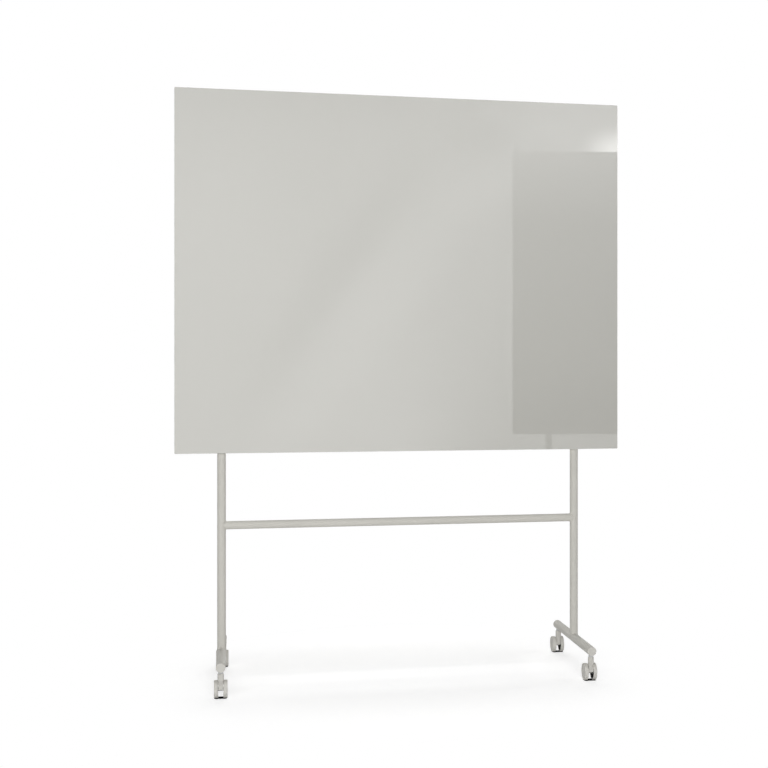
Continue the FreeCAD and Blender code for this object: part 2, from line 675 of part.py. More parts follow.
def wheel_tread(label, x, y, turn):
    """Soft tread moulded round the rim, with rounded shoulders."""
    outer = "(wheel_diameter / 2)"
    body = turned_on_axle(label, x, y, turn, [
        (WHEEL_IN, RIM_OUTER), (WHEEL_OUT, RIM_OUTER), (WHEEL_OUT, outer), (WHEEL_IN, outer)])
    dress(body, "Fillet", "tread_round", lambda edge: ring(edge, "x", WHEEL_OUT, outer))
    dress(body, "Fillet", "tread_inner_round", lambda edge: ring(edge, "x", WHEEL_IN, outer))


def hub_cap(label, x, y, turn):
    """Snap-in cover of the wheel's outer face, slightly crowned, with a flange on the rim."""
    rim = f"({RIM_INNER} - cap_fit)"
    lip = f"({RIM_OUTER} - cap_fit)"
    inside = f"({WHEEL_OUT} - cap_edge - cap_plate)"
    crown = f"({WHEEL_OUT} - cap_crown)"
    turned_on_axle(label, x, y, turn, [
        (DISC_OUT, f"{rim} - cap_skirt"), (inside, f"{rim} - cap_skirt"), (inside, "0"), (crown, "0"),
        (crown, "cap_button / 2"), (f"{WHEEL_OUT} - cap_edge", lip), (RIM_SEAT, lip), (RIM_SEAT, rim), (DISC_OUT, rim)])


def caster(end, side):
    """One whole twin-wheel caster."""
    corner = f"{end}_{side}"
    x, y = SIDES[side], ENDS[end]
    caster_stem(corner, x, y)
    caster_housing(corner, x, y)
    caster_axle(corner, x, y)
    brake_lever(corner, x, y)
    for hand, turn in (("left", 180), ("right", 0)):
        wheel_core(f"{corner}_caster_{hand}_wheel_core", x, y, turn)
        wheel_tread(f"{corner}_caster_{hand}_tread", x, y, turn)
        hub_cap(f"{corner}_caster_{hand}_hub_cap", x, y, turn)


# The whole board
glass_panel()
back_sheet()
for level in RAIL_HEIGHTS:
    mounting_rail(level)
group("weld_nuts", at_fixings(weld_nut, "weld_nut"))
group("saddle_spacers", at_fixings(saddle_spacer, "saddle_spacer"))
group("saddle_washers", at_fixings(saddle_washer, "saddle_washer"))
group("board_screws", at_fixings(board_screw, "board_screw"))
crossbar()
for side in SIDES:
    post(side)
    post_cap(side)
    base_tube(side)
for end in ENDS:
    for side in SIDES:
        base_plug(end, side)
        caster(end, side)
doc.recompute()

# Every object and shape is sound before anything is written
for thing in doc.Objects:
    if "Invalid" in thing.State or "Error" in thing.State:
        raise RuntimeError(f"{thing.Name} did not compute")
for node in nodes:
    if node.Shape.isNull() or not node.Shape.isValid():
        raise RuntimeError(f"{node.Label} has no valid shape")
os.makedirs("parts", exist_ok=True)
for node in nodes:
    node.Shape.exportStep(f"parts/{node.Label}.step")
print(len(nodes), "sub-parts written")
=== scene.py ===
"""Looks of a mobile glass whiteboard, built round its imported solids.

Sizes are in millimetres unless a name says otherwise, and become metres where a mesh is made.
X runs along the board, +Y to the back and +Z up, as in the solids.
"""
import logging
import math
from dataclasses import dataclass
from enum import Enum
from typing import Any

import bmesh
import bpy
from mathutils import Matrix, Vector


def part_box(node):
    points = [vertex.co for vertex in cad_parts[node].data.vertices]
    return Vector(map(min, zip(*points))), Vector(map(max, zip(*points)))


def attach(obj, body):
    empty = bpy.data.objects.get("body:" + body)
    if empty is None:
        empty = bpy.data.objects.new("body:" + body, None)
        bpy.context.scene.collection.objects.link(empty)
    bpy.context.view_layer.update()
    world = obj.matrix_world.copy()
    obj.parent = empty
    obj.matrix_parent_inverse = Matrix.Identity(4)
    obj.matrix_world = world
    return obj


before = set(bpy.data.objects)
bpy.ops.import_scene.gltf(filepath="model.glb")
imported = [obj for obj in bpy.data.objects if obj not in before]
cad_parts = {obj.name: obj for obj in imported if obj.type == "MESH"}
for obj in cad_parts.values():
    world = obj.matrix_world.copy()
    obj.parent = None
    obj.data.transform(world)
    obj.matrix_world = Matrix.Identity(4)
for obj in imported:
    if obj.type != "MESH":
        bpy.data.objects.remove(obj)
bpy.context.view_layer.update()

Tree = bpy.types.NodeTree
Socket = bpy.types.NodeSocket
Outputs = bpy.types.NodeOutputs
Material = bpy.types.Material
Pair = tuple[float, float]
Point = tuple[float, float, float]
Colour = tuple[float, float, float, float]

MM = 0.001
QUARTER_TURN = math.pi / 2
WHITE = (1.0, 1.0, 1.0, 1.0)
SQUARE = ((-1, -1), (1, -1), (1, 1), (-1, 1))
SIDES = ("left", "right")
CORNERS = ("front_left", "front_right", "rear_left", "rear_right")

# Places of a mix node's sockets, because those for numbers and for colours share their names
NUMBER_A, NUMBER_B, NUMBER_RESULT = 2, 3, 0
COLOUR_A, COLOUR_B, COLOUR_RESULT = 6, 7, 2

log = logging.getLogger("whiteboard")


class Slot(Enum):
    """Material slots of the record."""

    GLASS = "back_painted_glass"
    POWDER = "powder_coated_steel"
    NYLON = "moulded_nylon"
    BLACK = "dark_nylon"
    TREAD = "soft_tread"
    ZINC = "zinc_plated_steel"


class Ease(Enum):
    """How a value runs from one end of its range to the other."""

    STRAIGHT = "LINEAR"
    SOFT = "SMOOTHSTEP"
    SOFTER = "SMOOTHERSTEP"


class Sum(Enum):
    """What a math node works out."""

    ADD = "ADD"
    SUBTRACT = "SUBTRACT"
    MULTIPLY = "MULTIPLY"
    DIVIDE = "DIVIDE"
    POWER = "POWER"
    ROOT = "SQRT"
    LARGER = "MAXIMUM"


# Small helpers
def linear(code: str) -> Colour:
    """Turn an sRGB hex colour into linear values.

    Args:
        code: Colour as a hash sign and six hexadecimal digits.

    Returns:
        Red, green, blue and a full alpha, linear.
    """
    parts = [int(code[place:place + 2], 16) / 255 for place in (1, 3, 5)]
    flat = [part / 12.92 if part <= 0.04045 else ((part + 0.055) / 1.055) ** 2.4 for part in parts]
    return (flat[0], flat[1], flat[2], 1.0)


def metres(span: Pair) -> Pair:
    """Both ends of a range, turned from millimetres into metres."""
    return (span[0] * MM, span[1] * MM)


def new_object(name: str, mesh: bpy.types.Mesh) -> bpy.types.Object:
    """Put a mesh into the scene as an object at the origin.

    Args:
        name: Name of the object.
        mesh: Mesh with its place in its vertices.

    Returns:
        The linked object.
    """
    made = bpy.data.objects.new(name, mesh)
    bpy.context.scene.collection.objects.link(made)
    return made


def new_material(name: str) -> tuple[Material, Tree]:
    """Make an empty node material.

    Args:
        name: Name of the material.

    Returns:
        The material and its empty node tree.
    """
    material = bpy.data.materials.new(name)
    material.use_nodes = True
    material.node_tree.nodes.clear()
    return material, material.node_tree


# Nodes that any tree takes
def add_node(tree: Tree, kind: str, settings: dict[str, Any] | None = None,
             inputs: dict[Any, Any] | None = None) -> bpy.types.Node:
    """Add one node with its settings and links.

    Args:
        tree: Node tree that takes the node.
        kind: Type name of the node.
        settings: Properties of the node by name.
        inputs: Values, or sockets to link from, by input name or number.

    Returns:
        The new node.
    """
    node = tree.nodes.new(kind)
    for name, setting in (settings or {}).items():
        setattr(node, name, setting)
    for key, given in (inputs or {}).items():
        if isinstance(given, bpy.types.NodeSocket):
            tree.links.new(given, node.inputs[key])
        else:
            node.inputs[key].default_value = given
    return node


def calc(tree: Tree, what: Sum, first: Socket | float, second: Socket | float = 0.0) -> Socket:
    """Work out one number from one or two others."""
    return add_node(tree, "ShaderNodeMath", {"operation": what.value}, {0: first, 1: second}).outputs[0]


def vector(tree: Tree, **axes: Socket | float) -> Socket:
    """Join X, Y and Z into a vector, with zero for an axis that isn't given."""
    return add_node(tree, "ShaderNodeCombineXYZ", None, axes).outputs[0]


def split(tree: Tree, whole: Socket) -> Outputs:
    """Part a vector into its outputs X, Y and Z."""
    return add_node(tree, "ShaderNodeSeparateXYZ", None, {0: whole}).outputs


# Nodes of the materials
def object_place(tree: Tree) -> Socket:
    """Object coordinates, in metres."""
    return add_node(tree, "ShaderNodeTexCoord").outputs["Object"]


def length(tree: Tree, whole: Socket) -> Socket:
    """Length of a vector."""
    return add_node(tree, "ShaderNodeVectorMath", {"operation": "LENGTH"}, {0: whole}).outputs["Value"]


def remap(tree: Tree, given: Socket, span: Pair, target: Pair = (0.0, 1.0),
          ease: Ease = Ease.STRAIGHT) -> Socket:
    """Carry a value from one range into another, and hold it at both ends.

    Args:
        tree: Tree to build in.
        given: Socket that gives the value.
        span: Both ends of what the value runs through.
        target: Both ends of the result.
        ease: How the result runs between its ends.

    Returns:
        Socket that gives the result.
    """
    ends = {"From Min": span[0], "From Max": span[1], "To Min": target[0], "To Max": target[1]}
    node = add_node(tree, "ShaderNodeMapRange", {"interpolation_type": ease.value}, {"Value": given, **ends})
    return node.outputs["Result"]


def noise(tree: Tree, place: Socket, size: float, grain: Pair) -> Socket:
    """Make noise from 0 to 1.

    Args:
        tree: Tree to build in.
        place: Coordinates, in metres.
        size: How far across its features are.
        grain: Detail of the noise, and how much of it the finer steps keep.

    Returns:
        Socket that gives the noise.
    """
    node = add_node(tree, "ShaderNodeTexNoise", None, {
        "Vector": place, "Scale": 1.0 / (size * MM), "Detail": grain[0], "Roughness": grain[1]})
    return node.outputs["Fac"]


def mix_colours(tree: Tree, share: Socket, first: Socket | Colour, second: Socket | Colour) -> Socket:
    """Blend two colours.

    Args:
        tree: Tree to build in.
        share: Share of the second colour.
        first: Colour where the share is 0.
        second: Colour where the share is 1.

    Returns:
        Socket that gives the colour.
    """
    node = add_node(tree, "ShaderNodeMix", {"data_type": "RGBA"}, {
        "Factor": share, COLOUR_A: first, COLOUR_B: second})
    return node.outputs[COLOUR_RESULT]


def mix_shaders(tree: Tree, share: Socket, first: Socket, second: Socket) -> Socket:
    """Blend two shaders; the share is that of the second."""
    return add_node(tree, "ShaderNodeMixShader", None, {0: share, 1: first, 2: second}).outputs[0]


def emission(tree: Tree, strength: Socket | float) -> Socket:
    """Surface that gives white light of its own."""
    return add_node(tree, "ShaderNodeEmission", None, {"Color": WHITE, "Strength": strength}).outputs[0]


def diffuse(tree: Tree, colour: Socket | Colour) -> Socket:
    """Matt surface."""
    return add_node(tree, "ShaderNodeBsdfDiffuse", None, {"Color": colour}).outputs[0]


def clear(tree: Tree) -> Socket:
    """Surface that lets every ray through."""
    return add_node(tree, "ShaderNodeBsdfTransparent").outputs[0]


def surface(tree: Tree, shader: Socket) -> None:
    """End a material with its shader."""
    add_node(tree, "ShaderNodeOutputMaterial", None, {"Surface": shader})


# Nodes of the patterns
def circle(tree: Tree, points: int, radius: Socket) -> Socket:
    """Round curve about the origin."""
    return add_node(tree, "GeometryNodeCurvePrimitiveCircle", {"mode": "RADIUS"}, {
        "Resolution": points, "Radius": radius}).outputs["Curve"]


def ball(tree: Tree, facets: tuple[int, int], radius: Socket | float) -> Socket:
    """Sphere with that many segments and rings."""
    return add_node(tree, "GeometryNodeMeshUVSphere", None, {
        "Segments": facets[0], "Rings": facets[1], "Radius": radius}).outputs["Mesh"]


def sweep(tree: Tree, path: Socket, profile: Socket) -> Socket:
    """Mesh that a profile leaves along a path."""
    return add_node(tree, "GeometryNodeCurveToMesh", None, {
        "Curve": path, "Profile Curve": profile}).outputs[0]


def copies(tree: Tree, points: Socket, piece: Socket, **placing: Any) -> Socket:
    """Set a piece on each point, with its Rotation and Scale where they are given."""
    return add_node(tree, "GeometryNodeInstanceOnPoints", None, {
        "Points": points, "Instance": piece, **placing}).outputs[0]


# Finishes
@dataclass(frozen=True)
class Finish:
    """A coated or moulded surface: two close tones, a fine relief and a gloss that drifts a little."""

    name: str
    tone: str
    other_tone: str
    tone_size: float
    relief_size: float
    relief_depth: float
    gloss: Pair
    ior: float = 1.5
    shine: float = 0.5
    metallic: float = 0.0
    coat: float = 0.0
    coat_roughness: float = 0.03
    coat_ior: float = 1.5
    # Detail of each noise, and how much of it the finer steps keep
    tone_grain: Pair = (3.0, 0.55)
    relief_grain: Pair = (2.0, 0.5)
    smear_grain: Pair = (4.0, 0.5)
    smear_range: Pair = (0.3, 0.7)

    def colour(self, tree: Tree, place: Socket) -> Socket:
        """Drift slowly between the two tones.

        Args:
            tree: Tree of the material.
            place: Object coordinates.

        Returns:
            Socket that gives the colour.
        """
        drift = noise(tree, place, self.tone_size, self.tone_grain)
        return mix_colours(tree, drift, linear(self.tone), linear(self.other_tone))

    def relief(self, tree: Tree, place: Socket) -> Socket:
        """Fine pits and peaks of the surface, as a height from 0 to 1."""
        return noise(tree, place, self.relief_size, self.relief_grain)

    def material(self) -> Material:
        """Build the node material of this finish.

        Returns:
            The material.
        """
        material, tree = new_material(self.name)
        place = object_place(tree)
        bump = add_node(tree, "ShaderNodeBump", None, {
            "Strength": 1.0, "Distance": self.relief_depth * MM, "Height": self.relief(tree, place)})
        smear = noise(tree, place, self.tone_size / 2, self.smear_grain)
        shader = add_node(tree, "ShaderNodeBsdfPrincipled", None, {
            "Base Color": self.colour(tree, place),
            "Roughness": remap(tree, smear, self.smear_range, self.gloss),
            "Normal": bump.outputs["Normal"],
            "IOR": self.ior, "Specular IOR Level": self.shine, "Metallic": self.metallic,
            "Coat Weight": self.coat, "Coat Roughness": self.coat_roughness, "Coat IOR": self.coat_ior})
        surface(tree, shader.outputs["BSDF"])
        return material


@dataclass(frozen=True)
class BackPaintedGlass(Finish):
    """Toughened float glass with paint behind it."""

    edge_tone: str = "#B7BAB3"
    edge_range: Pair = (-0.9, -0.3)
    back_tone: str = "#B9B7B1"
    back_range: Pair = (0.6, 0.9)

    def colour(self, tree: Tree, place: Socket) -> Socket:
        """Paint seen through the face, a faint green in the ground edges, and the bare paint behind.

        Args:
            tree: Tree of the material.
            place: Object coordinates.

        Returns:
            Socket that gives the colour.
        """
        paint = super().colour(tree, place)
        backward = split(tree, add_node(tree, "ShaderNodeNewGeometry").outputs["Normal"])["Y"]
        edge = remap(tree, backward, self.edge_range)
        back = remap(tree, backward, self.back_range)
        edged = mix_colours(tree, edge, paint, linear(self.edge_tone))
        return mix_colours(tree, back, edged, linear(self.back_tone))


@dataclass(frozen=True)
class ZincPlate(Finish):
    """Turned steel with bright zinc on it."""

    mark_squeeze: Point = (0.1, 0.1, 1.0)

    def relief(self, tree: Tree, place: Socket) -> Socket:
        """Tool marks that run round the turned pieces, at right angles to Z.

        Args:
            tree: Tree of the material.
            place: Object coordinates.

        Returns:
            Socket that gives a height from 0 to 1.
        """
        flat = add_node(tree, "ShaderNodeMapping", None, {"Vector": place, "Scale": self.mark_squeeze})
        return super().relief(tree, flat.outputs["Vector"])


# Back-painted glass: the paint's even warm grey under a mirror-smooth clear face
GLASS = BackPaintedGlass(
    "back_painted_glass", "#BCBBB5", "#BEBDB7", tone_size=420, relief_size=900, relief_depth=0.04,
    gloss=(0.01, 0.02), ior=1.52, coat=1.0, coat_roughness=0.008, coat_ior=1.65)
# Polyester powder coat: satin, with an orange peel drawn three times too coarse so that it shows
POWDER = Finish(
    "powder_coated_steel", "#C5C3BC", "#CAC8C1", tone_size=160, relief_size=3.0, relief_depth=0.05,
    gloss=(0.46, 0.56), shine=0.1)
# Moulded nylon: satin with a fine spark-eroded grain, drawn coarse enough to show
NYLON = Finish(
    "moulded_nylon", "#C6C4BE", "#CBC9C3", tone_size=60, relief_size=1.2, relief_depth=0.04,
    gloss=(0.44, 0.56), shine=0.25)
# Black nylon of the wheel cores: dull, with greyer rubbed patches; the black is partly painted shade, chosen
# so that the gap between the twin wheels reads as deep shade
BLACK = Finish(
    "dark_nylon", "#161616", "#222220", tone_size=12, relief_size=1.2, relief_depth=0.05,
    gloss=(0.5, 0.62))
# Soft tread: matt thermoplastic rubber with a trace of floor dust
TREAD = Finish(
    "soft_tread", "#D1CFC9", "#C7C5BF", tone_size=14, relief_size=0.9, relief_depth=0.05,
    gloss=(0.62, 0.74), shine=0.4)
# Bright zinc plate: bluish silver with faint turning marks
ZINC = ZincPlate(
    "zinc_plated_steel", "#C2C3C3", "#B6B7B7", tone_size=10, relief_size=0.5, relief_depth=0.02,
    gloss=(0.24, 0.36), metallic=1.0)
# Neutral-cure silicone between the glass and its steel back: a smooth grey bead
SEALANT = Finish(
    "silicone_sealant", "#A9A8A3", "#B1B0AB", tone_size=40, relief_size=6.0, relief_depth=0.08,
    gloss=(0.34, 0.44), ior=1.41)


# Patterns that repeat or follow a path
@dataclass
class Pattern:
    """A Geometry Nodes tree with named sizes in metres, cast into a plain mesh at each of its places."""

    title: str
    sizes: dict[str, float | int]

    def grow(self, tree: Tree, size: Outputs) -> Socket:
        """Build the shape from the named sizes.

        Args:
            tree: Tree to build in.
            size: Outputs of the group's input node, by name.

        Returns:
            Socket that gives the geometry.
        """
        raise NotImplementedError(self.title)

    def group(self, material: Material) -> tuple[Tree, dict[str, str]]:
        """Build the tree, with an input for each size.

        Args:
            material: Finish of the mesh.

        Returns:
            The tree, and the identifier of each input by the name of its size.
        """
        tree = bpy.data.node_groups.new(self.title, "GeometryNodeTree")
        tree.interface.new_socket("Geometry", in_out="OUTPUT", socket_type="NodeSocketGeometry")
        identifiers: dict[str, str] = {}
        for label, given in self.sizes.items():
            kind = "NodeSocketInt" if isinstance(given, int) else "NodeSocketFloat"
            socket = tree.interface.new_socket(label, in_out="INPUT", socket_type=kind)
            identifiers[label] = socket.identifier
        size = add_node(tree, "NodeGroupInput").outputs
        smooth = add_node(tree, "GeometryNodeSetShadeSmooth", None, {"Geometry": self.grow(tree, size)})
        real = add_node(tree, "GeometryNodeRealizeInstances", None, {"Geometry": smooth.outputs[0]})
        coated = add_node(tree, "GeometryNodeSetMaterial", None, {
            "Geometry": real.outputs[0], "Material": material})
        add_node(tree, "NodeGroupOutput", None, {0: coated.outputs[0]})
        return tree, identifiers

    def plain(self, material: Material) -> bpy.types.Mesh:
        """Evaluate the tree once.

        Args:
            material: Finish of the mesh.

        Returns:
            A plain mesh of the pattern at the origin.
        """
        tree, identifiers = self.group(material)
        blank = new_object(self.title, bpy.data.meshes.new(self.title))
        modifier = blank.modifiers.new(self.title, "NODES")
        modifier.node_group = tree
        for label, given in self.sizes.items():
            modifier[identifiers[label]] = given
        mesh = bpy.data.meshes.new_from_object(blank.evaluated_get(bpy.context.evaluated_depsgraph_get()))
        blank.modifiers.remove(modifier)
        bpy.data.objects.remove(blank)
        return mesh

    def cast(self, name: str, places: list[Matrix], material: Material) -> bpy.types.Object:
        """Turn the pattern into one plain mesh that holds a copy at each place.

        Args:
            name: Name of the finished object.
            places: Where each copy stands, in metres.
            material: Finish of the mesh.

        Returns:
            The finished object.
        """
        plain = self.plain(material)
        whole = bmesh.new()
        for place in places:
            copy = plain.copy()
            copy.transform(place)
            whole.from_mesh(copy)
            bpy.data.meshes.remove(copy)
        mesh = bpy.data.meshes.new(name)
        whole.to_mesh(mesh)
        whole.free()
        mesh.materials.append(material)
        return new_object(name, mesh)


@dataclass
class SaddleBead(Pattern):
    """Weld bead round a coped tube end: overlapping ripples along the saddle where two tubes meet."""

    path_points: int = 96
    core_points: int = 10
    ripple_facets: tuple[int, int] = (10, 6)
    ripple_scale: Point = (1.0, 1.0, 0.7)

    def grow(self, tree: Tree, size: Outputs) -> Socket:
        """Bend a circle onto the mating tube, then lay ripples along it.

        Args:
            tree: Tree to build in.
            size: Outputs of the group's input node, by name.

        Returns:
            Socket that gives the geometry.
        """
        spot = split(tree, add_node(tree, "GeometryNodeInputPosition").outputs[0])
        across = calc(tree, Sum.POWER, spot["X"], 2.0)
        mate = calc(tree, Sum.POWER, size["Mate Radius"], 2.0)
        height = calc(tree, Sum.ROOT, calc(tree, Sum.SUBTRACT, mate, across))
        saddle = add_node(tree, "GeometryNodeSetPosition", None, {
            "Geometry": circle(tree, self.path_points, size["Tube Radius"]),
            "Offset": vector(tree, Z=height)}).outputs[0]
        core = sweep(tree, saddle, circle(tree, self.core_points, size["Core Radius"]))
        stops = add_node(tree, "GeometryNodeCurveToPoints", {"mode": "LENGTH"}, {
            "Curve": saddle, "Length": size["Pitch"]}).outputs
        ripples = copies(
            tree, stops["Points"], ball(tree, self.ripple_facets, size["Bead Radius"]),
            Rotation=stops["Rotation"], Scale=self.ripple_scale)
        joined = add_node(tree, "GeometryNodeJoinGeometry")
        for shape in (core, ripples):
            tree.links.new(shape, joined.inputs[0])
        return joined.outputs[0]


@dataclass
class SpotWeldRow(Pattern):
    """Row of shallow round marks that spot welds leave on a flange."""

    mark_points: int = 20
    mark_taper: float = 0.7

    def grow(self, tree: Tree, size: Outputs) -> Socket:
        """Set low cones along a line in X, centred on the origin.

        Args:
            tree: Tree to build in.
            size: Outputs of the group's input node, by name.

        Returns:
            Socket that gives the geometry.
        """
        steps = calc(tree, Sum.SUBTRACT, size["Count"], 1.0)
        reach = calc(tree, Sum.MULTIPLY, steps, size["Pitch"])
        line = add_node(tree, "GeometryNodeMeshLine", {"mode": "OFFSET"}, {
            "Count": size["Count"], "Offset": vector(tree, X=size["Pitch"]),
            "Start Location": vector(tree, X=calc(tree, Sum.DIVIDE, reach, -2.0))})
        mark = add_node(tree, "GeometryNodeMeshCone", None, {
            "Vertices": self.mark_points, "Radius Bottom": size["Radius"], "Depth": size["Height"],
            "Radius Top": calc(tree, Sum.MULTIPLY, size["Radius"], self.mark_taper)})
        return copies(tree, line.outputs["Mesh"], mark.outputs["Mesh"])


@dataclass
class SealBead(Pattern):
    """Bead of sealant round the edge of the steel back."""

    bead_points: int = 12
    corner_steps: int = 8

    def grow(self, tree: Tree, size: Outputs) -> Socket:
        """Sweep a small round along a rectangle with eased corners.

        Args:
            tree: Tree to build in.
            size: Outputs of the group's input node, by name.

        Returns:
            Socket that gives the geometry.
        """
        outline = add_node(tree, "GeometryNodeCurvePrimitiveQuadrilateral", {"mode": "RECTANGLE"}, {
            "Width": size["Width"], "Height": size["Height"]})
        eased = add_node(tree, "GeometryNodeFilletCurve", {"mode": "POLY"}, {
            "Curve": outline.outputs[0], "Count": self.corner_steps, "Radius": size["Corner"]})
        return sweep(tree, eased.outputs[0], circle(tree, self.bead_points, size["Bead Radius"]))


@dataclass
class GripRibs(Pattern):
    """Raised half-round ribs across a brake pedal."""

    rib_facets: tuple[int, int] = (12, 8)

    def grow(self, tree: Tree, size: Outputs) -> Socket:
        """Set balls that are stretched in X along a line in Y.

        Args:
            tree: Tree to build in.
            size: Outputs of the group's input node, by name.

        Returns:
            Socket that gives the geometry.
        """
        line = add_node(tree, "GeometryNodeMeshLine", {"mode": "OFFSET"}, {
            "Count": size["Count"], "Offset": vector(tree, Y=size["Pitch"])})
        turned = add_node(tree, "GeometryNodeTransform", None, {
            "Geometry": ball(tree, self.rib_facets, 1.0), "Rotation": (0.0, QUARTER_TURN, 0.0)})
        half = calc(tree, Sum.DIVIDE, size["Rib Length"], 2.0)
        stretch = vector(tree, X=half, Y=size["Rib Radius"], Z=size["Rib Radius"])
        return copies(tree, line.outputs["Mesh"], turned.outputs[0], Scale=stretch)


@dataclass
class CapRibs(Pattern):
    """Low moulded ribs that radiate on a hub cap."""

    rib_facets: tuple[int, int] = (20, 10)

    def grow(self, tree: Tree, size: Outputs) -> Socket:
        """Set slim drops on a circle, each pointed away from its middle.

        Args:
            tree: Tree to build in.
            size: Outputs of the group's input node, by name.

        Returns:
            Socket that gives the geometry.
        """
        ring = add_node(tree, "GeometryNodeMeshCircle", None, {
            "Vertices": size["Count"], "Radius": size["Ring Radius"]})
        spot = add_node(tree, "GeometryNodeInputPosition").outputs[0]
        aim = add_node(tree, "FunctionNodeAlignRotationToVector", {"axis": "X"}, {"Vector": spot})
        stretch = vector(tree, X=size["Half Length"], Y=size["Half Width"], Z=size["Height"])
        return copies(
            tree, ring.outputs["Mesh"], ball(tree, self.rib_facets, 1.0),
            Rotation=aim.outputs[0], Scale=stretch)


# Sub-assemblies
@dataclass
class SubAssembly:
    """Pieces of the object that belong together, with the finishes that they take."""

    finishes: dict[Slot, Material]

    def nodes(self) -> dict[str, Slot]:
        """Solids of this sub-assembly and the slot of each."""
        raise NotImplementedError

    def dress(self) -> None:
        """Give each solid its finish."""
        for name, slot in self.nodes().items():
            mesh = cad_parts[name].data
            mesh.materials.clear()
            mesh.materials.append(self.finishes[slot])
            log.info("dressed %s as %s", name, slot.value)

    def attach(self, piece: bpy.types.Object, body: str, slot: Slot) -> None:
        """Let a new piece move with a body.

        Args:
            piece: Finished object.
            body: Name of the body.
            slot: Slot of the record; not used.
        """
        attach(piece, body)
        log.info("built %s on %s", piece.name, body)


@dataclass
class Board(SubAssembly):
    """Glass panel, its bonded steel back and the rails that carry it."""

    weld_pitch: float = 110.0
    weld_count: int = 12
    weld_radius: float = 3.4
    weld_height: float = 0.5
    flange_middle: float = 27.5
    flange_back: float = 1.5
    seal_radius: float = 1.8
    seal_corner: float = 5.0

    def nodes(self) -> dict[str, Slot]:
        """List the solids of the board.

        Returns:
            Slot of each solid by its name.
        """
        return {
            "glass_panel": Slot.GLASS, "steel_back_sheet": Slot.POWDER, "upper_mounting_rail": Slot.POWDER,
            "lower_mounting_rail": Slot.POWDER, "weld_nuts": Slot.ZINC, "saddle_spacers": Slot.NYLON,
            "saddle_washers": Slot.ZINC, "board_screws": Slot.ZINC,
        }

    def build(self, sealant: Material) -> None:
        """Make the spot-weld marks on the rails and the sealant round the steel back.

        Args:
            sealant: Finish of the sealant.
        """
        rows = SpotWeldRow("spot_weld_row", {
            "Count": self.weld_count, "Pitch": self.weld_pitch * MM,
            "Radius": self.weld_radius * MM, "Height": self.weld_height * MM})
        backwards = Matrix.Rotation(-QUARTER_TURN, 4, "X")
        places = []
        for rail in ("upper_mounting_rail", "lower_mounting_rail"):
            low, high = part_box(rail)
            middle = (low.z + high.z) / 2
            back = low.y + self.flange_back * MM
            for side in (-1, 1):
                spot = Vector((0.0, back, middle + side * self.flange_middle * MM))
                places.append(Matrix.Translation(spot) @ backwards)
        self.attach(rows.cast("rail_spot_welds", places, self.finishes[Slot.POWDER]), "stand", Slot.POWDER)
        low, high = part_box("steel_back_sheet")
        seal = SealBead("seal_bead", {
            "Width": high.x - low.x, "Height": high.z - low.z, "Corner": self.seal_corner * MM,
            "Bead Radius": self.seal_radius * MM})
        upright = Matrix.Rotation(QUARTER_TURN, 4, "X")
        place = Matrix.Translation((0.0, low.y, (low.z + high.z) / 2)) @ upright
        self.attach(seal.cast("back_sealant_bead", [place], sealant), "stand", Slot.POWDER)


@dataclass
class Stand(SubAssembly):
    """Posts, crossbar, base tubes and what closes their ends."""

    bead_radius: float = 2.0
    core_radius: float = 1.7
    ripple_pitch: float = 1.5

    def nodes(self) -> dict[str, Slot]:
        """List the solids of the stand.

        Returns:
            Slot of each solid by its name.
        """
        found = {"crossbar": Slot.POWDER}
        for side in SIDES:
            found |= {f"{side}_post": Slot.POWDER, f"{side}_base_tube": Slot.POWDER}
            found |= {f"{side}_post_cap": Slot.NYLON}
        for corner in CORNERS:
            found |= {f"{corner}_base_plug": Slot.NYLON, f"{corner}_caster_stem": Slot.ZINC}
        return found

    def bead(self, tube: float, mate: float) -> SaddleBead:
        """Weld bead between a coped tube and its mate.

        Args:
            tube: Radius of the coped tube, in metres.
            mate: Radius of the other tube, in metres.

        Returns:
            The bead's pattern.
        """
        return SaddleBead("saddle_weld_bead", {
            "Tube Radius": tube, "Mate Radius": mate, "Bead Radius": self.bead_radius * MM,
            "Core Radius": self.core_radius * MM, "Pitch": self.ripple_pitch * MM})

    def build(self) -> None:
        """Weld the posts to the base tubes and the crossbar to the posts."""
        powder = self.finishes[Slot.POWDER]
        bar_low, bar_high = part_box("crossbar")
        bar_radius = (bar_high.z - bar_low.z) / 2
        bar_z = (bar_high.z + bar_low.z) / 2
        foot_places, bar_places = [], []
        for side in SIDES:
            post_low, post_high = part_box(f"{side}_post")
            base_low, base_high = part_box(f"{side}_base_tube")
            axis = (post_low + post_high) / 2
            post_radius = (post_high.x - post_low.x) / 2
            base_radius = (base_high.z - base_low.z) / 2
            foot_places.append(Matrix.Translation((axis.x, axis.y, (base_low.z + base_high.z) / 2)))
            # The bead's own Z points from the post along the bar
            inward = -1.0 if axis.x > 0 else 1.0
            turn = Matrix(((0, 0, inward), (inward, 0, 0), (0, 1, 0))).to_4x4()
            bar_places.append(Matrix.Translation((axis.x, axis.y, bar_z)) @ turn)
        # Both sides have the same tubes, so the last radii serve for all four beads
        feet = self.bead(post_radius, base_radius).cast("post_foot_welds", foot_places, powder)
        self.attach(feet, "stand", Slot.POWDER)
        bars = self.bead(bar_radius, post_radius).cast("crossbar_welds", bar_places, powder)
        self.attach(bars, "stand", Slot.POWDER)


